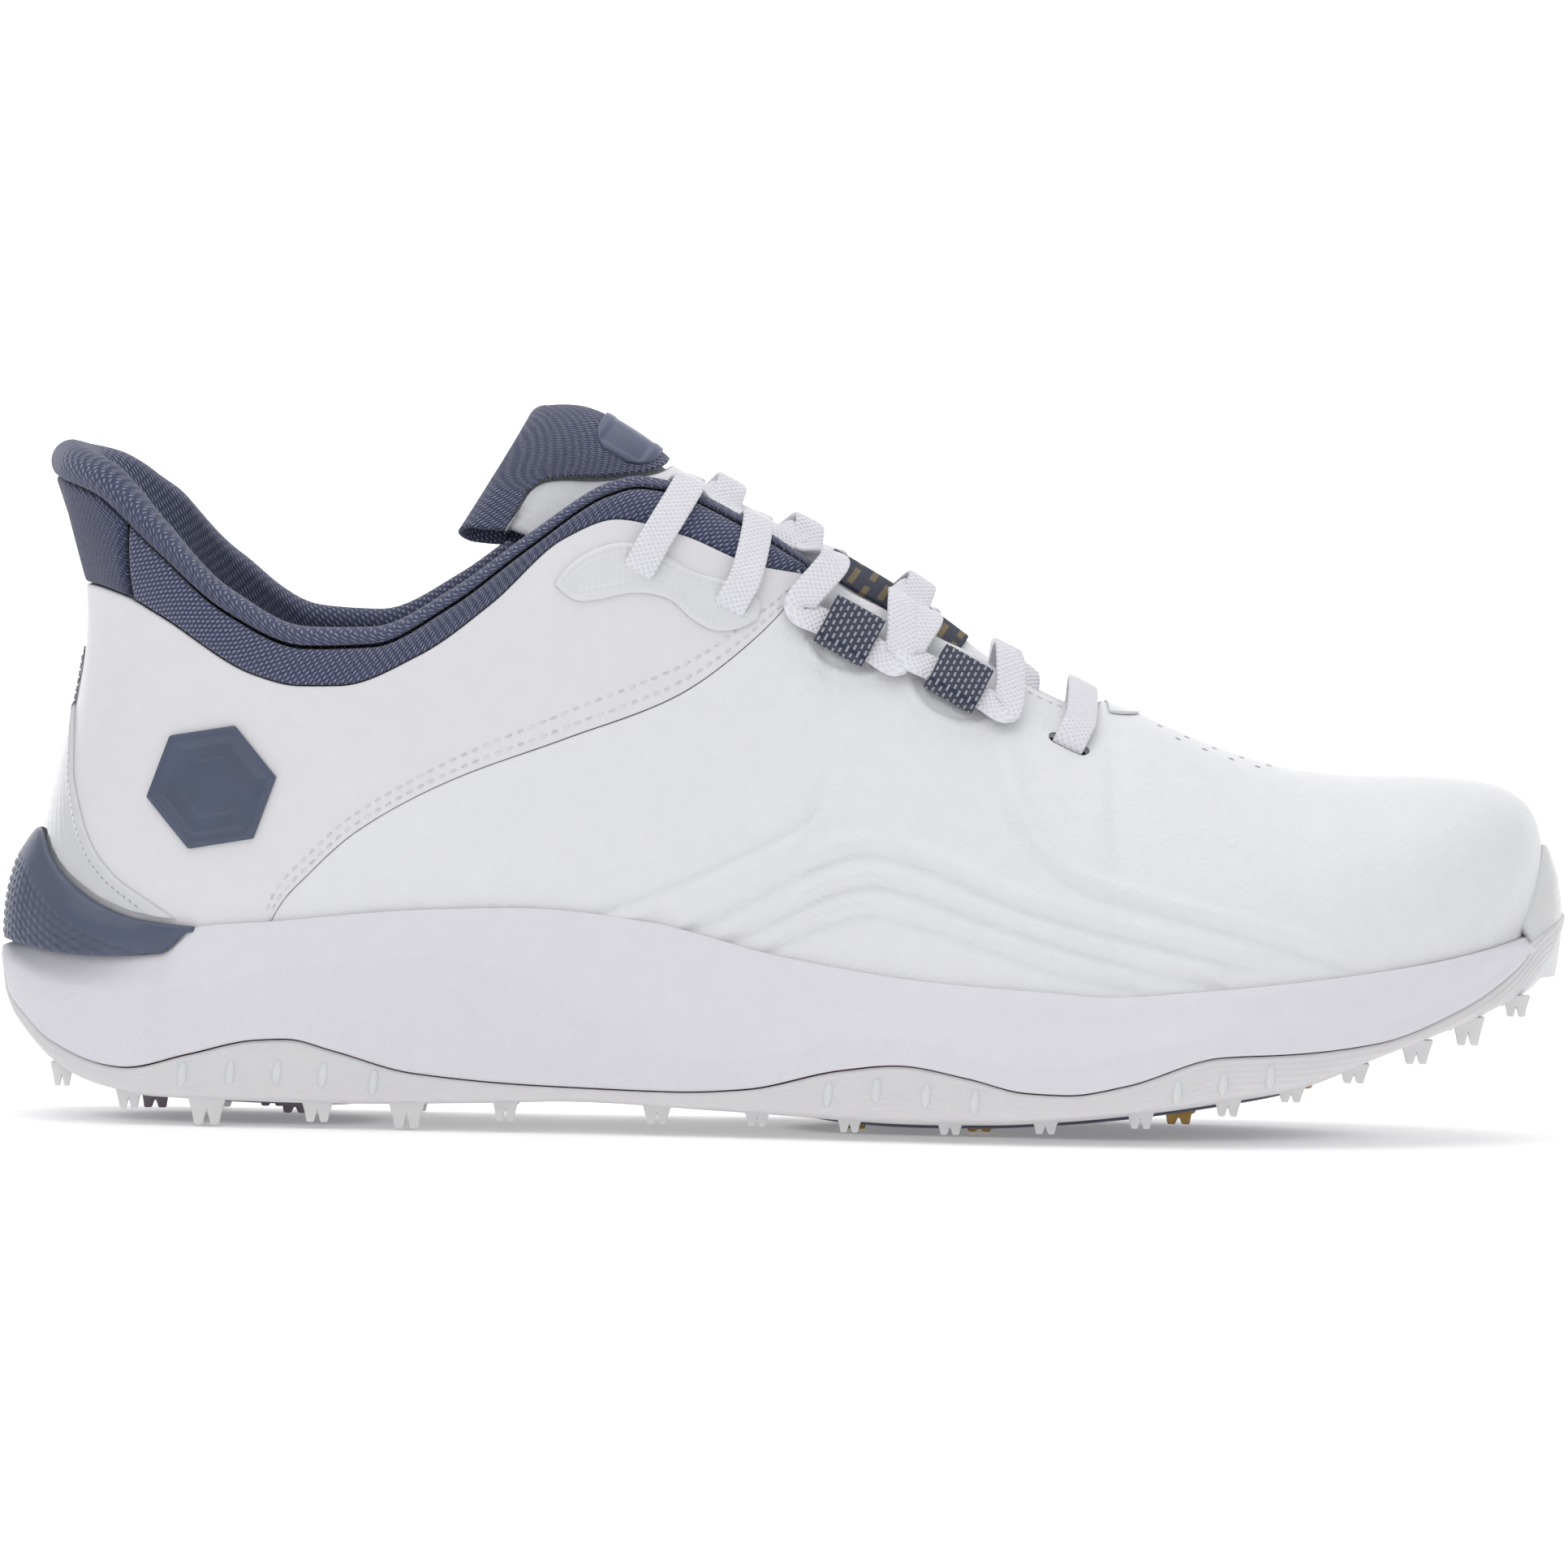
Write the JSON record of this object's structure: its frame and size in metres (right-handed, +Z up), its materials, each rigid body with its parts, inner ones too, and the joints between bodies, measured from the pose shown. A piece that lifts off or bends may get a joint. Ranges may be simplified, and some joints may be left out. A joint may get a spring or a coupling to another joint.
{
  "type": "golf shoe",
  "caption": "Low lace-up golf shoe for the right foot: white leather upper, knitted collar and tongue, ribbed foam midsole and a lugged rubber outsole.",
  "frame": {"origin": "middle of the shoe's own box, on the ground that its lugs stand on", "axes": "+X towards the toe, -Y towards the outer (lateral) side of this right shoe, +Z up"},
  "size_m": [0.2998, 0.1058, 0.1373],
  "materials": {
    "leather": "white pebbled leather, smooth at the quarters",
    "film": "satin white bonded film with a raised edge",
    "knit": "dark blue-grey two-tone knit",
    "lining": "brushed grey mesh",
    "webbing": "narrow dark blue webbing with light dashes",
    "sockliner": "brushed textile over foam",
    "tongue_face": "soft white leather",
    "padding": "open-cell foam",
    "board": "stiff fibre board",
    "emblem": "smooth dark blue film",
    "badge": "domed glossy dark blue",
    "counter": "moulded, satin, with a pressed grid",
    "midsole": "moulded foam with fine ribs",
    "outsole": "translucent-looking pale rubber",
    "plate": "moulded",
    "shank": "moulded, hidden",
    "fore_insert": "gold-coloured moulded",
    "heel_insert": "mauve-grey moulded",
    "lace": "flat woven white lace",
    "aglet": "clear-coated tip"
  },
  "bodies": {
    "shoe": {"vamp": "leather", "quarter_lateral": "leather", "quarter_medial": "leather", "heel_overlay": "film", "eyestay_overlay_lateral": "film", "eyestay_overlay_medial": "film", "throat_patch": "film", "collar_band_lateral": "knit", "collar_band_medial": "knit", "heel_tab_panel": "knit", "collar_lining": "knit", "vamp_lining": "lining", "core_web": "lining", "lace_rear_loop_lateral": "webbing", "lace_rear_loop_medial": "webbing", "lace_front_loop_lateral": "webbing", "lace_front_loop_medial": "webbing", "collar_foam": "padding", "heel_foam_core": "padding", "toe_puff": "board", "heel_stiffener": "board", "strobel_board": "board", "side_emblem": "emblem", "heel_counter": "counter", "midsole": "midsole", "outsole": "outsole", "fore_plate": "plate", "heel_plate": "plate", "shank_plate": "shank", "fore_insert_1": "fore_insert", "fore_insert_2": "fore_insert", "fore_insert_3": "fore_insert", "fore_insert_4": "fore_insert", "fore_insert_5": "fore_insert", "fore_insert_6": "fore_insert", "heel_insert_1": "heel_insert", "heel_insert_2": "heel_insert", "heel_insert_3": "heel_insert", "lace": "lace", "aglet_lateral": "aglet", "aglet_medial": "aglet"},
    "tongue": {"tongue_padding": "padding", "tongue_face": "tongue_face", "tongue_head": "knit", "tongue_badge": "badge", "tongue_strap": "webbing"},
    "insole": {"sockliner": "sockliner"}
  },
  "joints": [
    {"name": "tongue_bend", "type": "hinge", "parent": "shoe", "child": "tongue", "pos_m": [0.066, 0.004, 0.071], "axis": [0, -1, 0], "range_deg": [0, 8], "stiffness_Nm_per_rad": 0.25, "springref_deg": -17.19},
    {"name": "insole_lift", "type": "hinge", "parent": "shoe", "child": "insole", "pos_m": [0.1341, 0, 0.028], "axis": [0, 1, 0], "range_deg": [0, 4.5]}
  ]
}
